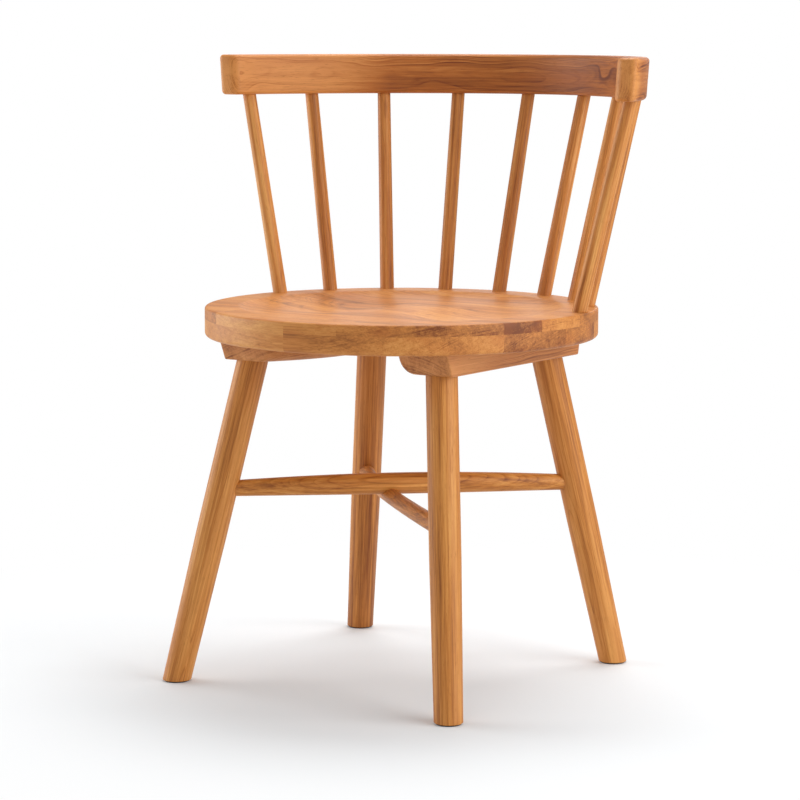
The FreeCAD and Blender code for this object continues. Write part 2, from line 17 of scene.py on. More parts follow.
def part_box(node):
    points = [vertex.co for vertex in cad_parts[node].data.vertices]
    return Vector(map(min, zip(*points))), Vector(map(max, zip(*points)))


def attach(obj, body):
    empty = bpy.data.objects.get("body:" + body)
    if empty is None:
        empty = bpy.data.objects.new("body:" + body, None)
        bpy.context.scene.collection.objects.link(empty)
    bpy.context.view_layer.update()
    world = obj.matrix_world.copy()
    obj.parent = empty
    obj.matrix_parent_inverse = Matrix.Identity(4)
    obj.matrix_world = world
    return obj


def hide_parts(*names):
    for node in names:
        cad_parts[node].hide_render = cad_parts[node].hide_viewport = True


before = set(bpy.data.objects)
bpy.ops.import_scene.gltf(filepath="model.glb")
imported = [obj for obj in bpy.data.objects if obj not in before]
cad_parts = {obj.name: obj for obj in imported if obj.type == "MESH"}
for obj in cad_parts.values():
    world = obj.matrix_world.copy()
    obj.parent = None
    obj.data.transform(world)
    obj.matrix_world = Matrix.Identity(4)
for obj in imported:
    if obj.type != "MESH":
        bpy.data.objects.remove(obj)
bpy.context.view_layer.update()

MM = 0.001

# %% [markdown]
# ## What the frame tells about the seat
# The seat's boards are solids of the frame, so their common box gives the seat's middle, its
# radius and the heights of its two layers. Everything else is placed from that middle.

# %% Seat measures
seat_nodes = sorted(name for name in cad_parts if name.startswith("seat_"))
seat_corners = [corner for name in seat_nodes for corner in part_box(name)]
seat_low = Vector([min(corner[axis] for corner in seat_corners) for axis in range(3)])
seat_high = Vector([max(corner[axis] for corner in seat_corners) for axis in range(3)])
SEAT_RADIUS = (seat_high.x - seat_low.x) / 2
SEAT_CENTRE = Vector((0, seat_low.y + SEAT_RADIUS, 0))
SEAT_TOP = seat_high.z
SEAT_UNDERSIDE = seat_low.z
LAYER_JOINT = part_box("seat_lower_board_1")[1][2]
print("seat radius", round(SEAT_RADIUS, 4), "centre", SEAT_CENTRE, "top", round(SEAT_TOP, 4))

# %% [markdown]
# ## Small helpers
# A shader or a Geometry Nodes tree is a set of nodes with settings and links. One function adds
# a node, sets its properties, and fills or links its inputs, so that each tree below reads as a
# list of what it does.


# %% One function to add a node
def add(tree, kind, inputs=None, **settings):
    """Adds a node; an input takes a number, a colour, a socket or a node's first output."""
    node = tree.nodes.new(kind)
    for name, value in settings.items():
        setattr(node, name, value)
    for key, value in (inputs or {}).items():
        socket = node.inputs[key]
        if isinstance(value, bpy.types.Node):
            value = value.outputs[0]
        if isinstance(value, bpy.types.NodeSocket):
            tree.links.new(value, socket)
        else:
            socket.default_value = value
    return node


# %% Colours and new materials
def linear(code):
    """A sRGB hex colour as linear numbers, with full opacity."""
    parts = [int(code[place:place + 2], 16) / 255 for place in (1, 3, 5)]
    values = [part / 12.92 if part <= 0.04045 else ((part + 0.055) / 1.055) ** 2.4 for part in parts]
    return (*values, 1.0)


def new_material(name):
    """A material with its node tree and its main shader."""
    material = bpy.data.materials.new(name)
    material.use_nodes = True
    tree = material.node_tree
    return material, tree, tree.nodes["Principled BSDF"]


print("middle grey as a linear colour:", [round(value, 3) for value in linear("#808080")])

# %% [markdown]
# ## Oiled hardwood
# The chair is made of a warm brown hardwood with a clear satin oil. The eye sees growth rings that
# run out along each piece as long lines, fine fibres, short dark pores and a slow change from
# honey to red-brown. A flat image would slide over the edges, so the wood is a solid texture:
# each piece carries a "grain" attribute, its own coordinates inside the log, in metres, with x
# along the fibres and the log's pith on the x axis. Rings are then rings on the end grain and
# flames on the flat faces without more work. A "tone" attribute makes one board darker or
# lighter than its neighbour, as different planks are.
# On the rail the tone attribute also carries painted light: a lighter left arm and lighter end faces.

# %% Patterns laid along the grain
# Each is given as mm along the grain, mm across it, number of finer layers, their strength.
STREAKS = (210, 4.2, 3.0, 0.6)      # bands of lighter and darker fibres
FIBRES = (45, 1.2, 3.0, 0.6)        # drawn coarser than real fibres so that they show
PORES = (11, 0.8, 1.0, 0.5)         # drawn coarser than real pores so that they show
BROAD_DRIFT = (300, 30, 2.0, 0.5)   # slow drift of colour across a board
RED_PATCHES = (170, 26, 2.0, 0.5)
RING_WAVES = (190, 60, 2.0, 0.5)    # the log is not quite straight or round
RING_PATCHES = (260, 22, 2.0, 0.5)  # where the rings show more or less


def pattern(tree, in_mm, kind):
    """A cloudy pattern stretched along the grain."""
    along, across, detail, roughness = kind
    scale = (1 / along, 1 / across, 1 / across)
    place = add(tree, "ShaderNodeVectorMath", {0: in_mm, 1: scale}, operation="MULTIPLY")
    return add(tree, "ShaderNodeTexNoise", {
        "Vector": place, "Scale": 1.0, "Detail": detail, "Roughness": roughness,
    })


print("fibre width", FIBRES[1], "mm, streak width", STREAKS[1], "mm")

# %% [markdown]
# ### Growth rings
# A year's growth darkens slowly and ends in a thin dark line of late wood. So the distance from
# the pith is divided by the width of a ring, and the fraction of that number is the time of year.
# Waves bend the rings, and a second pattern makes some years wide and others narrow.

# %% Growth rings
RING_SPACING = 3.4         # mm from one growth ring to the next
RING_UNEVENNESS = 5.0      # rings that wide and narrow years add at most
UNEVENNESS_SCALE = 0.45    # how often wide and narrow years change
LATE_WOOD_POWER = 3.5      # more makes the dark part of a year shorter
LATE_WOOD_END = 0.12       # share of a year in which the dark line fades out again
PATCH_LIMITS = (0.3, 0.7)  # rings are gone below the first and clear above the second


def growth_rings(tree, in_mm, wander):
    """Zero to one, one in the late wood of each year; wander is in mm."""
    waves = pattern(tree, in_mm, RING_WAVES).outputs["Color"]
    bend = add(tree, "ShaderNodeVectorMath", {0: waves, 1: (0.5, 0.5, 0.5)}, operation="SUBTRACT")
    moved = add(tree, "ShaderNodeVectorMath", {
        0: bend, 1: (0, wander, wander), 2: in_mm,
    }, operation="MULTIPLY_ADD")
    across = add(tree, "ShaderNodeVectorMath", {0: moved, 1: (0, 1, 1)}, operation="MULTIPLY")
    distance = add(tree, "ShaderNodeVectorMath", {0: across}, operation="LENGTH").outputs["Value"]
    turns = add(tree, "ShaderNodeMath", {0: distance, 1: RING_SPACING}, operation="DIVIDE")
    uneven = add(tree, "ShaderNodeTexNoise", {
        "W": turns, "Scale": UNEVENNESS_SCALE, "Detail": 3.0,
    }, noise_dimensions="1D")
    place = add(tree, "ShaderNodeMath", {
        0: uneven, 1: RING_UNEVENNESS, 2: turns,
    }, operation="MULTIPLY_ADD")
    year = add(tree, "ShaderNodeMath", {0: place}, operation="FRACT")
    late = add(tree, "ShaderNodeMath", {0: year, 1: LATE_WOOD_POWER}, operation="POWER")
    ending = add(tree, "ShaderNodeMapRange", {
        "Value": year, "From Min": 1.0, "From Max": 1.0 - LATE_WOOD_END,
    })
    line = add(tree, "ShaderNodeMath", {0: late, 1: ending}, operation="MULTIPLY")
    strength = add(tree, "ShaderNodeMapRange", {
        "Value": pattern(tree, in_mm, RING_PATCHES),
        "From Min": PATCH_LIMITS[0], "From Max": PATCH_LIMITS[1],
    })
    return add(tree, "ShaderNodeMath", {0: line, 1: strength}, operation="MULTIPLY")


print("ring spacing", RING_SPACING, "mm")

# %% [markdown]
# ### Colour and sheen
# Rings, fibres, streaks and drift are added up to one lightness, and three colours from dark to
# light are spread over it. Some patches are redder, and the pores are darker. The oil fills the
# wood and leaves a satin sheen that is a little duller in the pores.

# %% The lightness of the wood
RING_CONTRAST = 1.3
STREAK_CONTRAST = 1.3
FIBRE_CONTRAST = 0.6
DRIFT_CONTRAST = 0.8
TONE_AND_PAINTED_LIGHT_CONTRAST = 0.4
MIDDLE_LIGHTNESS = 0.55


def wood_lightness(tree, in_mm, fibre, rings, streaks, wander):
    """All patterns added up, zero for the darkest wood and one for the lightest."""
    lines = growth_rings(tree, in_mm, wander)
    total = add(tree, "ShaderNodeMath", {
        0: lines, 1: -RING_CONTRAST * rings, 2: MIDDLE_LIGHTNESS,
    }, operation="MULTIPLY_ADD")
    parts = (
        (fibre, FIBRE_CONTRAST),
        (pattern(tree, in_mm, BROAD_DRIFT), DRIFT_CONTRAST),
        (pattern(tree, in_mm, STREAKS), STREAK_CONTRAST * streaks),
    )
    for part, contrast in parts:
        change = add(tree, "ShaderNodeMath", {0: part, 1: 0.5}, operation="SUBTRACT")
        total = add(tree, "ShaderNodeMath", {
            0: change, 1: contrast, 2: total,
        }, operation="MULTIPLY_ADD")
    # the tone attribute: each piece's own tone, and on the rail also painted light
    tone = add(tree, "ShaderNodeAttribute", attribute_name="tone").outputs["Fac"]
    return add(tree, "ShaderNodeMath", {
        0: tone, 1: TONE_AND_PAINTED_LIGHT_CONTRAST, 2: total,
    }, operation="MULTIPLY_ADD", use_clamp=True)


# %% The wood material
PORE_LIMITS = (0.62, 0.72)  # the pore pattern is a full pore above the second
PORE_SHARE = 0.3            # how dark a pore gets
RED_LIMITS = (0.48, 0.78)
RED_SHARE = 0.4             # at most this much of the redder colour
SATIN_ROUGHNESS = 0.42
FIBRE_DULLNESS = 0.14
PORE_DULLNESS = 0.15
GRAIN_RELIEF = 0.12 * MM


def oiled_wood(name, light, middle, dark, red, rings, streaks, wander):
    """Wood in four hex colours; rings and streaks say how strongly these show."""
    material, tree, shader = new_material(name)
    grain = add(tree, "ShaderNodeAttribute", attribute_name="grain").outputs["Vector"]
    in_mm = add(tree, "ShaderNodeVectorMath", {0: grain, 1: (1000, 1000, 1000)}, operation="MULTIPLY")
    fibre = pattern(tree, in_mm, FIBRES)
    pore = add(tree, "ShaderNodeMapRange", {
        "Value": pattern(tree, in_mm, PORES), "From Min": PORE_LIMITS[0], "From Max": PORE_LIMITS[1],
    })

    lightness = wood_lightness(tree, in_mm, fibre, rings, streaks, wander)
    ramp = add(tree, "ShaderNodeValToRGB", {"Fac": lightness})
    stops = ramp.color_ramp.elements
    stops[0].position = 0.05
    stops[0].color = linear(dark)
    stops[1].position = 0.95
    stops[1].color = linear(light)
    stops.new(0.5).color = linear(middle)
    redness = add(tree, "ShaderNodeMapRange", {
        "Value": pattern(tree, in_mm, RED_PATCHES),
        "From Min": RED_LIMITS[0], "From Max": RED_LIMITS[1], "To Max": RED_SHARE,
    })
    warm = add(tree, "ShaderNodeMix", {0: redness, 6: ramp, 7: linear(red)}, data_type="RGBA")
    darkness = add(tree, "ShaderNodeMath", {0: pore, 1: PORE_SHARE}, operation="MULTIPLY")
    pored = add(tree, "ShaderNodeMix", {
        0: darkness, 6: warm.outputs[2], 7: linear(dark),
    }, data_type="RGBA")
    tree.links.new(pored.outputs[2], shader.inputs["Base Color"])

    rough = add(tree, "ShaderNodeMath", {
        0: fibre, 1: FIBRE_DULLNESS, 2: SATIN_ROUGHNESS,
    }, operation="MULTIPLY_ADD")
    rough = add(tree, "ShaderNodeMath", {0: pore, 1: PORE_DULLNESS, 2: rough}, operation="MULTIPLY_ADD")
    tree.links.new(rough.outputs[0], shader.inputs["Roughness"])
    height = add(tree, "ShaderNodeMath", {0: fibre, 1: pore}, operation="SUBTRACT")
    bump = add(tree, "ShaderNodeBump", {
        "Strength": 0.35, "Distance": GRAIN_RELIEF, "Height": height,
    })
    tree.links.new(bump.outputs["Normal"], shader.inputs["Normal"])
    shader.inputs["IOR"].default_value = 1.45
    shader.inputs["Specular IOR Level"].default_value = 0.42
    return material


# %% One wood for each kind of piece
# The seat's wood is quiet, so that the light shows its scoop, and the rail is one redder plank
# with bold rings. Spindles and legs are turned from streaky wood, and the bearers are plainer.
# light, middle, dark and red colour, strength of rings and of streaks, bend of the rings in mm
LOOKS = {
    "seat": ("#E0A258", "#C37C3A", "#743A14", "#B46428", 0.3, 0.5, 9.0),
    "rail": ("#D08A46", "#AE6526", "#6C300A", "#A6561C", 0.95, 0.6, 24.0),
    "spindles": ("#E2A55C", "#C27C38", "#7C4012", "#A85E22", 0.35, 1.0, 16.0),
    "legs": ("#E2A256", "#C07A34", "#7A3E10", "#A65C20", 0.35, 1.0, 16.0),
    "bearers": ("#DB9A5C", "#BE7A40", "#7C4218", "#A8602C", 0.8, 0.5, 16.0),
}
woods = {piece: oiled_wood(f"oiled_teak_{piece}", *look) for piece, look in LOOKS.items()}
print("woods:", [wood.name for wood in woods.values()])

# %% [markdown]
# ## Laying the grain on a piece
# The grain attribute is worked out from each finished mesh: a function turns a point of the chair
# into its place along and across the piece, and a random but seeded place in the log is added, so
# that no two pieces show the same rings.

# %% Grain and tone
GRAIN_SEED = 11
rng = random.Random(GRAIN_SEED)


def straight_grain(start, direction, side=None):
    """Coordinates along a straight piece and in the two directions across it."""
    along = Vector(direction).normalized()
    first = (Vector(side) if side else along.orthogonal()).normalized()
    first = (first - along * first.dot(along)).normalized()
    second = along.cross(first)
    turn = np.array([along, first, second])
    origin = np.array(start)
    return lambda points: (points - origin) @ turn.T


def log_place(near, far):
    """A place in the log: a random stretch of it, and the pith this many mm away."""
    reach = rng.uniform(near, far) * MM
    angle = rng.uniform(0, 2 * math.pi)
    return np.array((rng.uniform(0, 5), reach * math.cos(angle), reach * math.sin(angle)))


def lay_grain(mesh, grain_of, place, tone):
    """Stores both attributes; the tone is a number or a function of the points."""
    points = np.empty(len(mesh.vertices) * 3)
    mesh.vertices.foreach_get("co", points)
    points = points.reshape(-1, 3)
    values = grain_of(points) + place
    grain = mesh.attributes.new("grain", "FLOAT_VECTOR", "POINT")
    grain.data.foreach_set("vector", values.astype(np.float32).ravel())
    shades = tone(points) if callable(tone) else np.full(len(points), tone)
    tones = mesh.attributes.new("tone", "FLOAT", "POINT")
    tones.data.foreach_set("value", shades.astype(np.float32))


print("random places in the log start from seed", GRAIN_SEED)


# %% Finishing a piece and fixing it to the chair
def finish_piece(name, mesh, material, nodes, sharp_angle=40):
    """Makes a finished mesh a piece of the chair that stands for one or more solids."""
    mesh.materials.clear()
    mesh.materials.append(material)
    mesh.shade_smooth()
    mesh.set_sharp_from_angle(angle=math.radians(sharp_angle))
    piece = bpy.data.objects.new(name, mesh)
    bpy.context.scene.collection.objects.link(piece)
    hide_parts(*nodes)
    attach(piece, "root")


# %% [markdown]
# ## The seat
# The seat is a round blank glued up from boards in two layers and then scooped by hand or by a
# router: a flat rim carries the spindles, a round dish lies inside it, and two deeper hollows take
# the sitter's thighs with a low ridge between them. A round grid whose heights follow a formula
# gives that shape with smooth shading. The blank is then sliced along its glue lines into the
# boards that it is made of, so that each board can have its own colour and its own rings.

# %% The seat's form
DISH_RADIUS = 195 * MM
DISH_DEPTH = 5.5 * MM
DISH_EDGE = 14.0         # more makes the dish drop more quickly inside its rim
HOLLOW_DEPTH = 7.5 * MM
HOLLOW_EDGE = 6          # the same for the hollows, where they reach the dish's edge
HOLLOW_OFFSET = 98 * MM
HOLLOW_BACK = 10 * MM
HOLLOW_WIDE = 92 * MM
HOLLOW_LONG = 128 * MM
TOP_ROUND = 3 * MM
BOTTOM_ROUND = 5 * MM
TOP_RINGS = 60
TOP_ROUND_STEPS = 4
SIDE_STEPS = 4
BOTTOM_ROUND_STEPS = 6
UNDERSIDE_RINGS = (0.75, 0.4)    # as shares of the seat's radius
SEAT_SEGMENTS = 288
QUARTER = math.pi / 2


def saddle_depth(x, y):
    """How deep the seat's top is scooped at a place measured from the seat's middle."""
    reach = min(math.hypot(x, y) / DISH_RADIUS, 1)
    depth = DISH_DEPTH * (1 - reach ** DISH_EDGE)
    for side in (-1, 1):
        across = (x - side * HOLLOW_OFFSET) / HOLLOW_WIDE
        along = (y - HOLLOW_BACK) / HOLLOW_LONG
        away = across * across + along * along
        if away < 1:
            depth += HOLLOW_DEPTH * (1 - away) ** 2 * (1 - reach ** HOLLOW_EDGE)
    return depth


print("deepest place of the seat:", round(saddle_depth(HOLLOW_OFFSET, HOLLOW_BACK) / MM, 1), "mm")


# %% The seat's blank
def seat_rings():
    """The profile from the top's middle, over the rim, to the underside's middle."""
    flat = SEAT_RADIUS - TOP_ROUND
    rings = [(flat * number / TOP_RINGS, SEAT_TOP, True) for number in range(1, TOP_RINGS + 1)]
    high = SEAT_TOP - TOP_ROUND
    for number in range(1, TOP_ROUND_STEPS + 1):
        angle = QUARTER * number / TOP_ROUND_STEPS
        rings.append((flat + TOP_ROUND * math.sin(angle), high + TOP_ROUND * math.cos(angle), False))
    low = SEAT_UNDERSIDE + BOTTOM_ROUND
    for number in range(1, SIDE_STEPS):
        rings.append((SEAT_RADIUS, high + (low - high) * number / SIDE_STEPS, False))
    inner = SEAT_RADIUS - BOTTOM_ROUND
    for number in range(BOTTOM_ROUND_STEPS + 1):
        angle = QUARTER * number / BOTTOM_ROUND_STEPS
        rings.append((inner + BOTTOM_ROUND * math.cos(angle), low - BOTTOM_ROUND * math.sin(angle), False))
    for share in UNDERSIDE_RINGS:
        rings.append((SEAT_RADIUS * share, SEAT_UNDERSIDE, False))
    return rings


def seat_blank():
    form = bmesh.new()
    top_middle = form.verts.new(SEAT_CENTRE + Vector((0, 0, SEAT_TOP - saddle_depth(0, 0))))
    rows = []
    for radius, height, is_top in seat_rings():
        row = []
        for number in range(SEAT_SEGMENTS):
            angle = 2 * math.pi * number / SEAT_SEGMENTS
            x, y = radius * math.cos(angle), radius * math.sin(angle)
            lower = saddle_depth(x, y) if is_top else 0
            row.append(form.verts.new((x + SEAT_CENTRE.x, y + SEAT_CENTRE.y, height - lower)))
        rows.append(row)
    low_middle = form.verts.new(SEAT_CENTRE + Vector((0, 0, SEAT_UNDERSIDE)))
    for number in range(SEAT_SEGMENTS):
        after = (number + 1) % SEAT_SEGMENTS
        form.faces.new((top_middle, rows[0][number], rows[0][after]))
        for upper, lower in zip(rows, rows[1:]):
            form.faces.new((upper[number], lower[number], lower[after], upper[after]))
        form.faces.new((low_middle, rows[-1][after], rows[-1][number]))
    return form


blank = seat_blank()
print("seat blank:", len(blank.faces), "faces")


# %% Slicing the blank
def sliced(form, low, high):
    """A closed copy of the form between two corners, cut by planes and capped."""
    part = form.copy()
    for axis in range(3):
        for corner, way in ((low, -1), (high, 1)):
            normal = Vector((0, 0, 0))
            normal[axis] = way
            everything = part.verts[:] + part.edges[:] + part.faces[:]
            result = bmesh.ops.bisect_plane(
                part, geom=everything, dist=1e-7, plane_co=corner, plane_no=normal, clear_outer=True,
            )
            edges = [item for item in result["geom_cut"] if isinstance(item, bmesh.types.BMEdge)]
            rims = [edge for edge in edges if edge.is_boundary]
            if rims:
                bmesh.ops.holes_fill(part, edges=rims, sides=0)
    bmesh.ops.recalc_face_normals(part, faces=part.faces)
    mesh = bpy.data.meshes.new("board")
    part.to_mesh(mesh)
    part.free()
    return mesh


EDGE_MARGIN = 2 * MM     # a cut at the seat's outer edge passes this far outside it
EDGE_BOARD = 12 * MM     # a board whose box ends this close to the seat's edge reaches it


def cutting_corners(name):
    """A board's box, opened a little wherever the board reaches the seat's surface."""
    low, high = (Vector(corner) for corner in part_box(name))
    for axis in range(2):
        if low[axis] - seat_low[axis] < EDGE_BOARD:
            low[axis] = seat_low[axis] - EDGE_MARGIN
        if seat_high[axis] - high[axis] < EDGE_BOARD:
            high[axis] = seat_high[axis] + EDGE_MARGIN
    if name.startswith("seat_upper"):
        low.z, high.z = LAYER_JOINT, SEAT_TOP + EDGE_MARGIN
    else:
        low.z, high.z = SEAT_UNDERSIDE - EDGE_MARGIN, LAYER_JOINT
    return low, high


print("layers meet at", round(LAYER_JOINT, 4))

# %% [markdown]
# ### The boards
# Each board came from another plank, so each has its own tone, below zero where it is darker.
# The tones show on the seat's side, where the boards were sawn, far more than on the sanded top.

# %% The boards
BOARD_TONES = {
    "seat_upper_front_board": (-0.35, 0.35, -0.15, 0.0, -0.4),
    "seat_upper_board": (-1.3, 0.1, -0.5, -0.3, -0.05),
    "seat_lower_front_board": (0.1, 0.25, -0.1),
    "seat_lower_board": (-0.6, -0.6, -0.1, 0.1),
}
TOP_TONE_SHARE = 0.2     # the sanded top shows less difference between boards than the side


def board_shade(tone):
    """A board's tone, full on the seat's side and weak on its scooped top."""
    def shade(points):
        reach = np.hypot(points[:, 0], points[:, 1] - SEAT_CENTRE.y)
        return np.where(reach > SEAT_RADIUS - TOP_ROUND / 2, tone, tone * TOP_TONE_SHARE)
    return shade


for name in seat_nodes:
    row, number = name.rsplit("_", 1)
    tone = BOARD_TONES[row][int(number) - 1]
    mesh = sliced(blank, *cutting_corners(name))
    grain = straight_grain(SEAT_CENTRE, (1, 0, 0), (0, 1, 0))
    lay_grain(mesh, grain, log_place(60, 150), board_shade(tone))
    finish_piece(name.replace("seat_", "board_"), mesh, woods["seat"], [name], sharp_angle=32)
blank.free()
print("boards:", len(seat_nodes))

# %% [markdown]
# ## Skins over cross-sections
# The rail and the bearers are long boards whose edges are rounded by different amounts, larger
# at the ends than along the sides. A bevel over so many short faces would clamp itself, so the
# roundings are drawn in the cross-sections: each section is a loop of points, sections near an
# end shrink as the rounding asks, and faces join them into a closed skin.

# %% Rounded sections and skins
CORNER_STEPS = 6


def rounded_corner(centre, radius, start):
    """Points of a quarter circle that begins at an angle, in turns of a quarter."""
    angles = [QUARTER * (start + number / CORNER_STEPS) for number in range(CORNER_STEPS + 1)]
    return [(centre[0] + radius * math.cos(angle), centre[1] + radius * math.sin(angle)) for angle in angles]


def rounding_loss(radius, distance):
    """How much a rounded edge takes off, at a distance from the face where it ends."""
    left = min(max(radius - distance, 0), radius)
    return radius - math.sqrt(radius ** 2 - left ** 2)


def skin(name, rings):
    """A closed mesh through loops that have the same number of points."""
    form = bmesh.new()
    rows = [[form.verts.new(point) for point in ring] for ring in rings]
    count = len(rows[0])
    for before, after in zip(rows, rows[1:]):
        for number in range(count):
            following = (number + 1) % count
            form.faces.new((before[number], before[following], after[following], after[number]))
    form.faces.new(rows[0])
    form.faces.new(rows[-1])
    bmesh.ops.recalc_face_normals(form, faces=form.faces)
    mesh = bpy.data.meshes.new(name)
    form.to_mesh(mesh)
    form.free()
    return mesh


print("a 5 mm rounding takes off", round(rounding_loss(5, 1), 2), "mm at 1 mm from the end")

# %% [markdown]
# ## The crest rail
# The rail is one thick band, cut or bent to a round back that runs into two flatter arms. Its
# section leans outward a little, its long edges are rounded and its ends are sawn square to the
# front, with larger rounds where a hand holds them. The section is swept along two arcs on each
# side. Toward an end the sections turn until they lie in the plane of the saw cut.

# %% The rail's middle line
rail_low, rail_high = (Vector(corner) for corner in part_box("crest_rail"))
RAIL_THICKNESS = 27 * MM
RAIL_LEAN = 3.5 * MM
RAIL_ROUND = 5 * MM
RAIL_END_ROUND = 9 * MM
RAIL_HEIGHT = rail_high.z - rail_low.z
BACK_RADIUS = 232.8 * MM
BACK_ANGLE = math.radians(32.1)
ARM_RADIUS = 366.4 * MM
RAIL_BACK = SEAT_CENTRE.y + 292 * MM
back_centre = RAIL_BACK - BACK_RADIUS
arm_shift = ARM_RADIUS - BACK_RADIUS
arm_centre = Vector((-arm_shift * math.sin(BACK_ANGLE), back_centre - arm_shift * math.cos(BACK_ANGLE)))
back_length = BACK_RADIUS * BACK_ANGLE
end_turn = math.acos((rail_low.y - arm_centre.y) / ARM_RADIUS)
RAIL_REACH = back_length + (end_turn - BACK_ANGLE) * ARM_RADIUS


def rail_frame(along):
    """The middle line's place and its outward direction, a distance from the back."""
    turn = abs(along) / BACK_RADIUS
    centre, reach = Vector((0, back_centre)), BACK_RADIUS
    if turn > BACK_ANGLE:
        turn = BACK_ANGLE + (abs(along) - back_length) / ARM_RADIUS
        centre, reach = arm_centre, ARM_RADIUS
    side = 1 if along >= 0 else -1
    outward = Vector((side * math.sin(turn), math.cos(turn)))
    place = Vector((side * (centre.x + reach * math.sin(turn)), centre.y + reach * math.cos(turn)))
    return place, outward


print("rail from its back to one end:", round(RAIL_REACH, 4))

# %% [markdown]
# ### A section of the rail
# Along the middle of the rail a section stands square to the middle line. Near an end it turns to
# lie beside the saw cut. There it also gets thinner, by as much as the end's large upright rounds
# take off, and lower, by as much as the small rounds take off.

# %% A section of the rail
TURNING_LENGTH = 90 * MM    # over which the sections turn to the plane of the cut
CORNER_SHRINK = 0.8         # how much of the lost height the section's own corners lose


def section_direction(along, outward):
    """Across the rail, square to it along its middle and parallel to the cut at its ends."""
    left = RAIL_REACH - abs(along)
    if left >= TURNING_LENGTH:
        return outward
    share = min((TURNING_LENGTH - left) / (TURNING_LENGTH - 2 * RAIL_END_ROUND), 1)
    share = share * share * (3 - 2 * share)
    square = Vector((1 if along >= 0 else -1, 0))
    across = (outward * (1 - share) + square * share).normalized()
    return across / across.dot(outward)


def rail_section(along):
    """A loop round the rail at a distance from its back."""
    place, outward = rail_frame(along)
    from_cut = place.y - rail_low.y
    lost_height = rounding_loss(RAIL_ROUND, from_cut)
    half_width = RAIL_THICKNESS / 2 - rounding_loss(RAIL_END_ROUND, from_cut)
    half_height = RAIL_HEIGHT / 2 - lost_height
    corner = min(RAIL_ROUND, half_width, half_height) - CORNER_SHRINK * lost_height
    across = section_direction(along, outward)
    points = []
    for number, (side, up) in enumerate(((1, 1), (-1, 1), (-1, -1), (1, -1))):
        centre = (side * (half_width - corner), up * (half_height - corner))
        points += rounded_corner(centre, corner, number)
    ring = []
    for out, up in points:
        height = up + RAIL_HEIGHT / 2
        flat_place = place + across * (out + RAIL_LEAN * height / RAIL_HEIGHT)
        ring.append((flat_place.x, flat_place.y, rail_low.z + height))
    return ring


print("points in a section:", len(rail_section(0)))


# %% The rail's grain, tone and painted light
RAIL_LOG_PLACE = np.array((0.3, 0.048, -0.025))    # the pith lies behind the rail's middle height
# painted light: the left arm's inner face is drawn lighter where the light from the right falls on it
LEFT_ARM_START = 160 * MM
LEFT_ARM_BLEND = 50 * MM
LEFT_ARM_PAINTED_LIGHT = 1.3
# painted light: both end faces of the rail are drawn lighter, as faces lit from the front
END_PAINTED_LIGHT_START = rail_low.y + 30 * MM
END_PAINTED_LIGHT_BLEND = 20 * MM
RAIL_TONE = -0.1


def rail_grain(points):
    """Length along the middle line, distance outward from it, and height."""
    result = np.empty_like(points)
    for row, (x, y, z) in zip(result, points):
        side = 1 if x >= 0 else -1
        turn = math.atan2(abs(x), y - back_centre)
        if turn < BACK_ANGLE:
            along = BACK_RADIUS * turn
            out = math.hypot(x, y - back_centre) - BACK_RADIUS
        else:
            turn = math.atan2(abs(x) - arm_centre.x, y - arm_centre.y)
            along = back_length + (turn - BACK_ANGLE) * ARM_RADIUS
            out = math.hypot(abs(x) - arm_centre.x, y - arm_centre.y) - ARM_RADIUS
        row[:] = (side * along, out, z - rail_low.z)
    return result


def rail_tone_and_painted_light(points):
    """Painted light: lighter toward the left arm's lit inner face and at both lit end faces, added to the
    rail's own tone.
    """
    left_arm_light = np.clip((-points[:, 0] - LEFT_ARM_START) / LEFT_ARM_BLEND, 0, 1)
    ends = np.clip((END_PAINTED_LIGHT_START - points[:, 1]) / END_PAINTED_LIGHT_BLEND, 0, 1)
    return np.maximum(left_arm_light * LEFT_ARM_PAINTED_LIGHT, ends) + RAIL_TONE


print("the rail's tone runs from", RAIL_TONE, "to", LEFT_ARM_PAINTED_LIGHT + RAIL_TONE)

# %% The rail
END_STEPS = 8
MIDDLE_STEPS = 120
angles = [QUARTER * number / END_STEPS for number in range(END_STEPS + 1)]
end_places = [RAIL_REACH - RAIL_END_ROUND * (1 - math.cos(angle)) for angle in angles]
plain_reach = RAIL_REACH - RAIL_END_ROUND
places = end_places.copy()
places += [plain_reach * (1 - 2 * number / MIDDLE_STEPS) for number in range(1, MIDDLE_STEPS)]
places += [-place for place in reversed(end_places)]
rings = [rail_section(along) for along in places]

# the solid's box is the outer limit, so the loops are drawn in by a fraction of a millimetre
widest = max(point[0] for ring in rings for point in ring)
deepest = max(point[1] for ring in rings for point in ring)
fit_x = min(rail_high.x / widest, -rail_low.x / widest, 1.0)
fit_y = min(rail_high.y / deepest, 1.0)
rings = [[(x * fit_x, y * fit_y if y > 0 else y, z) for x, y, z in ring] for ring in rings]

rail_mesh = skin("rail", rings)
lay_grain(rail_mesh, rail_grain, RAIL_LOG_PLACE, rail_tone_and_painted_light)
finish_piece("rail", rail_mesh, woods["rail"], ["crest_rail"], sharp_angle=50)
print("rail:", len(rail_mesh.polygons), "faces, drawn in to", round(fit_x, 4), "and", round(fit_y, 4))

# %% [markdown]
# ## Turned and bent bars
# Spindles, legs and stretchers are all round bars: a line, straight or slightly bent, with a
# radius that changes along it. That is a rule, so one Geometry Nodes tree makes them all. A
# quadratic curve is the bar's middle line, its radius runs from the start's to the end's over
# part of the length, and a half wave of sine adds the swelling in the middle.

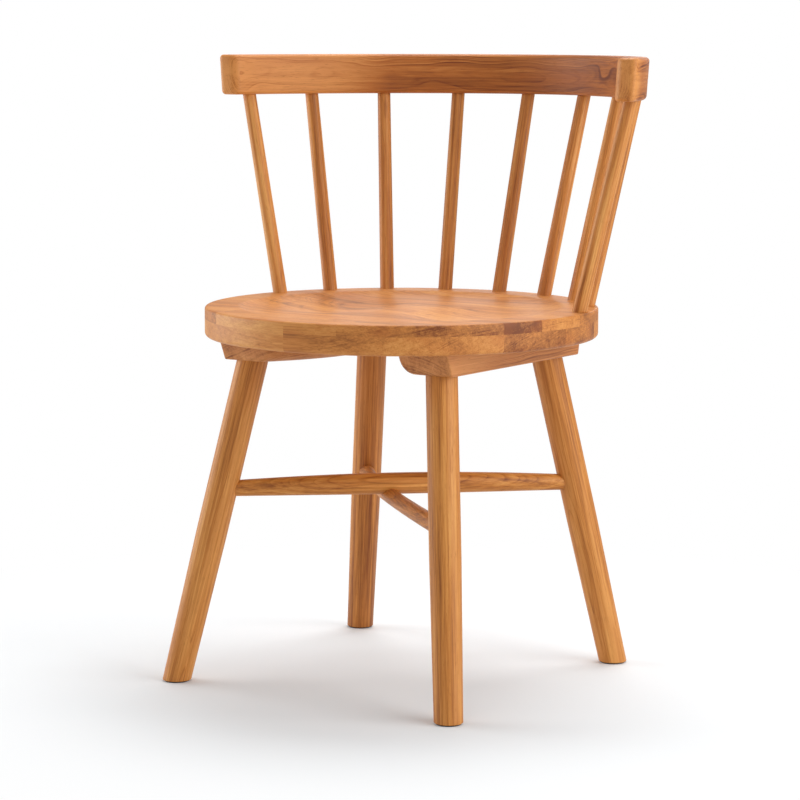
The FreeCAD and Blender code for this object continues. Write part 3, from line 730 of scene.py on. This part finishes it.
# %% The tree that makes a round bar
bar_tree = bpy.data.node_groups.new("round bar", "GeometryNodeTree")
BAR_INPUTS = {
    "NodeSocketVector": ("Start", "End", "Middle shift"),
    "NodeSocketFloat": ("Start radius", "End radius", "Taper share", "Swelling"),
    "NodeSocketInt": ("Steps", "Sides"),
    "NodeSocketMaterial": ("Wood",),
}
for socket_type, socket_names in BAR_INPUTS.items():
    for socket_name in socket_names:
        bar_tree.interface.new_socket(socket_name, in_out="INPUT", socket_type=socket_type)
bar_tree.interface.new_socket("Geometry", in_out="OUTPUT", socket_type="NodeSocketGeometry")
given = add(bar_tree, "NodeGroupInput").outputs

both = add(bar_tree, "ShaderNodeVectorMath", {0: given["Start"], 1: given["End"]}, operation="ADD")
halfway = add(bar_tree, "ShaderNodeVectorMath", {0: both, "Scale": 0.5}, operation="SCALE")
pull = add(bar_tree, "ShaderNodeVectorMath", {0: given["Middle shift"], "Scale": 2.0}, operation="SCALE")
handle = add(bar_tree, "ShaderNodeVectorMath", {0: halfway, 1: pull}, operation="ADD")
line = add(bar_tree, "GeometryNodeCurveQuadraticBezier", {
    "Resolution": given["Steps"], "Start": given["Start"], "Middle": handle, "End": given["End"],
})

share = add(bar_tree, "GeometryNodeSplineParameter").outputs["Factor"]
taper = add(bar_tree, "ShaderNodeMath", {
    0: share, 1: given["Taper share"],
}, operation="DIVIDE", use_clamp=True)
plain = add(bar_tree, "ShaderNodeMix", {0: taper, 2: given["Start radius"], 3: given["End radius"]})
turn = add(bar_tree, "ShaderNodeMath", {0: share, 1: math.pi}, operation="MULTIPLY")
wave = add(bar_tree, "ShaderNodeMath", {0: turn}, operation="SINE")
swell = add(bar_tree, "ShaderNodeMath", {0: wave, 1: given["Swelling"]}, operation="MULTIPLY")
radius = add(bar_tree, "ShaderNodeMath", {0: plain, 1: swell}, operation="ADD")

ring = add(bar_tree, "GeometryNodeCurvePrimitiveCircle", {"Resolution": given["Sides"], "Radius": 1.0})
tube = add(bar_tree, "GeometryNodeCurveToMesh", {
    "Curve": line, "Profile Curve": ring, "Scale": radius, "Fill Caps": True,
})
real = add(bar_tree, "GeometryNodeRealizeInstances", {"Geometry": tube})
wooden = add(bar_tree, "GeometryNodeSetMaterial", {"Geometry": real, "Material": given["Wood"]})
add(bar_tree, "NodeGroupOutput", {"Geometry": wooden})
print("nodes in the bar's tree:", len(bar_tree.nodes))

# %% [markdown]
# ### From the tree to a mesh
# A modifier runs the tree on an empty holder. Its result is copied to a plain mesh, and the
# holder goes away.


# %% A bar as a plain mesh
def bar_mesh(start, end, shift, start_radius, end_radius, taper, swelling, wood, steps, sides):
    holder = bpy.data.objects.new("bar", bpy.data.meshes.new("bar"))
    bpy.context.scene.collection.objects.link(holder)
    modifier = holder.modifiers.new("bar", "NODES")
    modifier.node_group = bar_tree
    values = {
        "Start": start, "End": end, "Middle shift": shift, "Start radius": start_radius,
        "End radius": end_radius, "Taper share": taper, "Swelling": swelling, "Steps": steps,
        "Sides": sides, "Wood": wood,
    }
    for item in bar_tree.interface.items_tree:
        if item.in_out == "INPUT":
            modifier[item.identifier] = values[item.name]
    evaluated = holder.evaluated_get(bpy.context.evaluated_depsgraph_get())
    mesh = bpy.data.meshes.new_from_object(evaluated)
    holder.modifiers.remove(modifier)
    bpy.data.objects.remove(holder)
    return mesh


# %% [markdown]
# ## Spindles
# Nine turned spindles stand on a circle near the seat's edge and spread to an even pitch along
# the rail, a little closer at the last one on each side. Each is a hair thinner at the rail than
# at the seat. Their ends run on inside the seat and the rail, as the real ones do in their bores.

# %% Spindles
SPINDLE_INSET = 13 * MM
SPINDLE_ANGLE = math.radians(19.2)
SPINDLE_SPACING = 96.4 * MM
SPINDLE_END_SPACING = 90 * MM
SPINDLE_SEAT_RADIUS = 8.9 * MM
SPINDLE_RAIL_RADIUS = 8.2 * MM
SPINDLE_HIDDEN = 12 * MM
SPINDLE_TONES = (0.15, -0.1, -0.15, 0.1, 0.0, 0.1, 0.2, -0.1, 0.15)
STRAIGHT = (0, 0, 0)
for number, tone in enumerate(SPINDLE_TONES, start=1):
    step = number - 5
    angle = SPINDLE_ANGLE * step
    low = SEAT_CENTRE + Vector((math.sin(angle), math.cos(angle), 0)) * (SEAT_RADIUS - SPINDLE_INSET)
    low.z = SEAT_TOP
    along = SPINDLE_SPACING * step
    if abs(step) == 4:
        along = math.copysign(3 * SPINDLE_SPACING + SPINDLE_END_SPACING, step)
    place = rail_frame(along)[0]
    high = Vector((place.x, place.y, rail_low.z))
    up = (high - low).normalized()
    mesh = bar_mesh(
        low - up * SPINDLE_HIDDEN, high + up * SPINDLE_HIDDEN, STRAIGHT, SPINDLE_SEAT_RADIUS,
        SPINDLE_RAIL_RADIUS, taper=1.0, swelling=0.0, wood=woods["spindles"], steps=24, sides=40,
    )
    lay_grain(mesh, straight_grain(low, up), log_place(15, 60), tone)
    finish_piece(f"back_spindle_{number}", mesh, woods["spindles"], [f"spindle_{number}"])
print("spindles:", len(SPINDLE_TONES), "the last one", round((high - low).length, 4), "from seat to rail")

# %% [markdown]
# ## Legs
# Four turned legs splay outward both ways. They keep their full thickness from the bearer to
# below the stretcher and taper to the foot, which is sawn level with the floor and lightly
# chamfered. The bar is made a little too long and then cut level and bevelled.

# %% Leg measures
LEG_RADIUS = 18.6 * MM
FOOT_RADIUS = 16.5 * MM
TAPER_HEIGHT = 215 * MM
FOOT_CHAMFER = 0.8 * MM
LEG_HIDDEN = 16 * MM     # how far a leg runs on inside its bearer
FOOT_SPARE = 30          # mm, sawn off again at the floor
LEG_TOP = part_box("bearer_left")[0][2]
FOOT_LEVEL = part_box("leg_front_left")[0][2]
LEG_PLACES = {           # foot and top, in mm to the side and to the back of the seat's middle
    "front": ((195.2, -195.7), (135.0, -119.2)),
    "back": ((190.8, 189.5), (128.3, 126.0)),
}
LEG_TONES = {"front_left": 0.1, "front_right": 0.0, "back_left": -0.25, "back_right": 0.05}


def level_foot(mesh):
    """Cuts a leg off level at the glide and chamfers the new edge."""
    form = bmesh.new()
    form.from_mesh(mesh)
    result = bmesh.ops.bisect_plane(
        form, geom=form.verts[:] + form.edges[:] + form.faces[:], dist=1e-7,
        plane_co=(0, 0, FOOT_LEVEL), plane_no=(0, 0, -1), clear_outer=True,
    )
    rims = [item for item in result["geom_cut"] if isinstance(item, bmesh.types.BMEdge)]
    bmesh.ops.holes_fill(form, edges=rims, sides=0)
    bmesh.ops.bevel(form, geom=rims, offset=FOOT_CHAMFER, segments=3, profile=0.5, affect="EDGES")
    bmesh.ops.recalc_face_normals(form, faces=form.faces)
    form.to_mesh(mesh)
    form.free()


print("legs run from", round(FOOT_LEVEL, 4), "to", round(LEG_TOP, 4))

# %% Legs
leg_axes = {}
for where, (foot_place, top_place) in LEG_PLACES.items():
    for hand, side in (("left", -1), ("right", 1)):
        name = f"{where}_{hand}"
        foot = SEAT_CENTRE + Vector((side * foot_place[0], foot_place[1], 0)) * MM
        top = SEAT_CENTRE + Vector((side * top_place[0], top_place[1], 0)) * MM
        top.z = LEG_TOP
        leg_axes[name] = (foot, top)
        up = (top - foot).normalized()
        start = foot - up * FOOT_SPARE * MM
        end = top + up * LEG_HIDDEN
        mesh = bar_mesh(
            start, end, STRAIGHT, FOOT_RADIUS, LEG_RADIUS, taper=TAPER_HEIGHT / (end - start).length,
            swelling=0.0, wood=woods["legs"], steps=40, sides=64,
        )
        level_foot(mesh)
        lay_grain(mesh, straight_grain(foot, up), log_place(25, 90), LEG_TONES[name])
        finish_piece(f"turned_leg_{name}", mesh, woods["legs"], [f"leg_{name}"], sharp_angle=30)
print("legs:", len(leg_axes))

# %% [markdown]
# ## Stretchers
# Two bars cross from leg to leg. Each bows forward and rises a little to its middle. The upper
# one is thicker there, and the lower one passes under it in a shallow cope.

# %% Stretchers
STRETCHER_BOW = 20 * MM
# legs, heights at both legs, rise to the middle, radius at the ends and in the middle, tone
STRETCHERS = {
    "over": ("front_left", "back_right", 231.5, 228, 6, 9.3, 13.0, 0.05),
    "under": ("front_right", "back_left", 213, 213, 8, 10.2, 9.4, -0.1),
}


def leg_point(name, height):
    """The point on a leg's middle line at a height in mm."""
    foot, top = leg_axes[name]
    return foot + (top - foot) * ((height * MM - foot.z) / (top.z - foot.z))


for name, measures in STRETCHERS.items():
    start_leg, end_leg, start_height, end_height, rise, end_radius, middle_radius, tone = measures
    start = leg_point(start_leg, start_height)
    end = leg_point(end_leg, end_height)
    span = end - start
    forward = Vector((span.y, -span.x, 0)).normalized()
    if forward.y > 0:
        forward.negate()
    shift = forward * STRETCHER_BOW + Vector((0, 0, rise * MM))
    mesh = bar_mesh(
        start, end, shift, end_radius * MM, end_radius * MM, taper=1.0,
        swelling=(middle_radius - end_radius) * MM, wood=woods["legs"], steps=64, sides=48,
    )
    lay_grain(mesh, straight_grain(start, span), log_place(15, 50), tone)
    finish_piece(f"crossed_bar_{name}", mesh, woods["legs"], [f"stretcher_{name}"])
    print("stretcher", name, "spans", round(span.length, 4))

# %% [markdown]
# ## Bearers
# A board under each side of the seat takes the two legs of that side. Its outer side is straight,
# its inner side is cut to a long curve and rounded off underneath almost over its full thickness,
# and its ends slope back. Sections across the board follow that curve, and the ones at the ends
# shrink a little to break the edges.

# %% Bearer measures
BEARER_FRONT, BEARER_BACK = -151 * MM, 152 * MM
BEARER_OUTSIDE = 162.5 * MM
BEARER_INSIDE_END, BEARER_INSIDE_MIDDLE = 98 * MM, 43 * MM
FRONT_UNDERCUT, BACK_UNDERCUT = 12 * MM, 6 * MM
BEARER_ROUND = 24 * MM
BEARER_ROUND_STEPS = 12
BROKEN_EDGE = 2 * MM
BROKEN_EDGE_STEPS = 4
BEARER_STEPS = 60
BEARER_THICKNESS = SEAT_UNDERSIDE - LEG_TOP
BEARER_LENGTH = BEARER_BACK - BEARER_FRONT
arc_half = BEARER_LENGTH / 2
arc_middle = (BEARER_BACK + BEARER_FRONT) / 2
arc_depth = BEARER_INSIDE_END - BEARER_INSIDE_MIDDLE
arc_radius = (arc_half ** 2 + arc_depth ** 2) / (2 * arc_depth)
print("bearer:", round(BEARER_LENGTH, 4), "long,", round(BEARER_THICKNESS, 4), "thick")


# %% A section of a bearer
def bearer_inside(y):
    """How far from the seat's middle the curved inner side stands."""
    away = min(abs(y - arc_middle), arc_half)
    return BEARER_INSIDE_MIDDLE + arc_radius - math.sqrt(arc_radius ** 2 - away ** 2)


def bearer_profile():
    """From the top of the inner side round the bottom to the top of the outer side."""
    profile = [(0, BEARER_THICKNESS, "in"), (0, BEARER_ROUND, "in")]
    for number in range(1, BEARER_ROUND_STEPS + 1):
        angle = QUARTER * number / BEARER_ROUND_STEPS
        profile.append((BEARER_ROUND * (1 - math.cos(angle)), BEARER_ROUND * (1 - math.sin(angle)), "in"))
    for number in range(BROKEN_EDGE_STEPS + 1):
        angle = QUARTER * number / BROKEN_EDGE_STEPS
        profile.append((BROKEN_EDGE * (1 - math.sin(angle)), BROKEN_EDGE * (1 - math.cos(angle)), "out"))
    profile.append((0, BEARER_THICKNESS, "out"))
    return profile


def bearer_section(distance, side):
    """A loop across the board at a distance from its front, smaller near both ends."""
    share = distance / BEARER_LENGTH
    loss = rounding_loss(BROKEN_EDGE, min(distance, BEARER_LENGTH - distance))
    ring = []
    for away, height, face in bearer_profile():
        height = max(height, loss) if face == "out" else loss + height * (1 - loss / BEARER_THICKNESS)
        rise = 1 - height / BEARER_THICKNESS
        front = BEARER_FRONT + FRONT_UNDERCUT * rise
        back = BEARER_BACK - BACK_UNDERCUT * rise
        y = front + (back - front) * share
        x = bearer_inside(y) + away + loss if face == "in" else BEARER_OUTSIDE - away - loss
        ring.append((side * x, SEAT_CENTRE.y + y, LEG_TOP + height))
    return ring


print("points in a section:", len(bearer_profile()))

# %% Bearers
angles = [QUARTER * number / BROKEN_EDGE_STEPS for number in range(BROKEN_EDGE_STEPS + 1)]
near_end = [BROKEN_EDGE * (1 - math.cos(angle)) for angle in angles]
plain_length = BEARER_LENGTH - 2 * BROKEN_EDGE
distances = near_end.copy()
distances += [BROKEN_EDGE + plain_length * number / BEARER_STEPS for number in range(1, BEARER_STEPS)]
distances += [BEARER_LENGTH - distance for distance in reversed(near_end)]
for hand, side in (("left", -1), ("right", 1)):
    mesh = skin("bearer", [bearer_section(distance, side) for distance in distances])
    lay_grain(mesh, straight_grain(SEAT_CENTRE, (0, 1, 0), (1, 0, 0)), log_place(40, 70), 0.0)
    finish_piece(f"seat_bearer_{hand}", mesh, woods["bearers"], [f"bearer_{hand}"])
print("sections in each bearer:", len(distances))

# %% [markdown]
# ## Glides and screws
# The glides under the feet and the hidden screws keep the solids of the frame. They only need
# their own finishes: matte black nylon, which a mould leaves slightly grained, and zinc-plated
# steel, which is cloudy and a little uneven in its shine.


# %% Finishes of the small parts
def speckled_material(name, dark, light, specks_per_metre, detail):
    """A material whose colour runs between two hex colours in specks of a millimetre or so."""
    material, tree, shader = new_material(name)
    place = add(tree, "ShaderNodeTexCoord").outputs["Object"]
    speckle = add(tree, "ShaderNodeTexNoise", {
        "Vector": place, "Scale": specks_per_metre, "Detail": detail,
    })
    shade = add(tree, "ShaderNodeValToRGB", {"Fac": speckle})
    shade.color_ramp.elements[0].color = linear(dark)
    shade.color_ramp.elements[1].color = linear(light)
    tree.links.new(shade.outputs["Color"], shader.inputs["Base Color"])
    return material, tree, shader, speckle


glide_plastic, tree, shader, speckle = speckled_material(
    "black_nylon_glide", "#1C1712", "#3A3128", specks_per_metre=900, detail=2.0,
)
bump = add(tree, "ShaderNodeBump", {"Strength": 0.2, "Distance": 0.1 * MM, "Height": speckle})
tree.links.new(bump.outputs["Normal"], shader.inputs["Normal"])
shader.inputs["Roughness"].default_value = 0.55

screw_steel, tree, shader, speckle = speckled_material(
    "zinc_plated_steel", "#9A9A96", "#C4C4BE", specks_per_metre=700, detail=3.0,
)
rough = add(tree, "ShaderNodeMapRange", {"Value": speckle, "To Min": 0.3, "To Max": 0.5})
tree.links.new(rough.outputs["Result"], shader.inputs["Roughness"])
shader.inputs["Metallic"].default_value = 1.0
print("finishes:", glide_plastic.name, screw_steel.name)

# %% Glides and screws
small_parts = {name: glide_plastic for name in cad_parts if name.startswith("glide_")}
small_parts.update({name: screw_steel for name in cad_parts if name.endswith(("screw", "screws"))})
for name, material in small_parts.items():
    solid = bpy.data.objects[name]
    solid.data.materials.clear()
    solid.data.materials.append(material)
print("glides and screws:", sorted(small_parts))

# %% [markdown]
# ## Floor
# The floor is a plain pale sheet that takes the soft shadow. Away from the chair the camera sees
# it fade to plain white, so that it has no edge against the background. It is clear from below,
# so that the chair's underside can be looked at.

# %% Floor
FLOOR_REACH = 12         # metres each way
NEAR_GLOW = 0.05         # share of plain white that the camera sees under the chair
FADE_START = 0.35        # metres from the chair's middle
FADE_END = 0.85
corners = [(side * FLOOR_REACH, end * FLOOR_REACH, 0) for side, end in ((-1, -1), (1, -1), (1, 1), (-1, 1))]
floor_mesh = bpy.data.meshes.new("floor")
floor_mesh.from_pydata(corners, [], [(0, 1, 2, 3)])
floor = bpy.data.objects.new("floor", floor_mesh)
bpy.context.scene.collection.objects.link(floor)

pale, tree, shader = new_material("pale_studio_floor")
shader.inputs["Base Color"].default_value = linear("#E2E5E7")
shader.inputs["Roughness"].default_value = 0.8
shader.inputs["Specular IOR Level"].default_value = 0.1
glow = add(tree, "ShaderNodeEmission", {"Color": (1, 1, 1, 1), "Strength": 1.0})
place = add(tree, "ShaderNodeTexCoord").outputs["Object"]
away = add(tree, "ShaderNodeVectorMath", {0: place}, operation="LENGTH").outputs["Value"]
fade = add(tree, "ShaderNodeMapRange", {
    "Value": away, "From Min": FADE_START, "From Max": FADE_END, "To Min": NEAR_GLOW, "To Max": 1.0,
}, interpolation_type="SMOOTHSTEP")
camera_ray = add(tree, "ShaderNodeLightPath").outputs["Is Camera Ray"]
seen = add(tree, "ShaderNodeMath", {0: camera_ray, 1: fade}, operation="MULTIPLY")
mixed = add(tree, "ShaderNodeMixShader", {0: seen, 1: shader, 2: glow})
below = add(tree, "ShaderNodeNewGeometry").outputs["Backfacing"]
clear = add(tree, "ShaderNodeBsdfTransparent")
sheet = add(tree, "ShaderNodeMixShader", {0: below, 1: mixed, 2: clear})
tree.links.new(sheet.outputs[0], tree.nodes["Material Output"].inputs["Surface"])
floor_mesh.materials.append(pale)
print("floor:", 2 * FLOOR_REACH, "metres square, white from", FADE_END, "metres out")

# %% [markdown]
# ## Light
# A pale world gives even light, and the camera sees it as white. A large lamp at each side draws
# the bright edges of the legs and spindles, the one above casts the soft shadow, a weak one behind
# shows the seat's hollows, and a weak one in front keeps the near sides from going dark.

# %% World and lamps
WORLD_LEVEL = 0.42
world = bpy.data.worlds.new("studio")
bpy.context.scene.world = world
world.use_nodes = True
tree = world.node_tree
background = tree.nodes["Background"]
camera_ray = add(tree, "ShaderNodeLightPath").outputs["Is Camera Ray"]
level = add(tree, "ShaderNodeMix", {0: camera_ray, 2: WORLD_LEVEL, 3: 1.0})
background.inputs["Color"].default_value = (1, 1, 1, 1)
tree.links.new(level.outputs[0], background.inputs["Strength"])

# name, place, point that it faces, width and height in metres, power in watts
LAMPS = (
    ("left_softbox", (-2.3, -0.6, 0.9), (0, 0, 0.4), 1.8, 1.6, 34),
    ("right_softbox", (2.2, 0.2, 1.25), (-0.1, 0, 0.5), 2.0, 2.0, 42),
    ("top_softbox", (-0.2, 0.8, 2.5), (0, 0, 0.4), 1.6, 1.2, 42),
    ("back_softbox", (-1.0, 2.4, 1.1), (0, 0, 0.5), 1.6, 0.8, 6),
    ("front_fill", (0.6, -2.6, 1.9), (0, 0, 0.4), 1.6, 1.2, 6),
)
for name, place, target, width, height, power in LAMPS:
    light = bpy.data.lights.new(name, "AREA")
    light.shape = "RECTANGLE"
    light.size = width
    light.size_y = height
    light.energy = power
    lamp = bpy.data.objects.new(name, light)
    lamp.location = place
    lamp.rotation_euler = (Vector(target) - Vector(place)).to_track_quat("-Z", "Y").to_euler()
    bpy.context.scene.collection.objects.link(lamp)
print("lamps:", len(LAMPS))

# %% [markdown]
# ## Camera
# The camera stands where the photographer's stood: to the right of the front, at the height of
# the crest rail, with a long lens.

# %% Camera
CAMERA_AZIMUTH = math.radians(33.68)    # to the right of the front
CAMERA_PITCH = math.radians(7.43)       # downward
CAMERA_ROLL = math.radians(0.09)
CAMERA_DISTANCE = 3.4657                # metres in plan from the axis that it turns round
CAMERA_HEIGHT = 0.787
CAMERA_AXIS_Y = SEAT_CENTRE.y - 3 * MM
camera_data = bpy.data.cameras.new("camera")
camera_data.lens = 129.9
camera_data.sensor_width = 36
camera = bpy.data.objects.new("camera", camera_data)
where = Vector((
    CAMERA_DISTANCE * math.sin(CAMERA_AZIMUTH),
    CAMERA_AXIS_Y - CAMERA_DISTANCE * math.cos(CAMERA_AZIMUTH),
    CAMERA_HEIGHT,
))
turned = Matrix.Rotation(CAMERA_AZIMUTH, 4, "Z")
tilted = Matrix.Rotation(QUARTER - CAMERA_PITCH, 4, "X")
rolled = Matrix.Rotation(CAMERA_ROLL, 4, "Z")
camera.matrix_world = Matrix.Translation(where) @ turned @ tilted @ rolled
bpy.context.scene.collection.objects.link(camera)
bpy.context.scene.camera = camera
bpy.context.scene.view_settings.view_transform = "Standard"
print("camera at", [round(value, 3) for value in where])
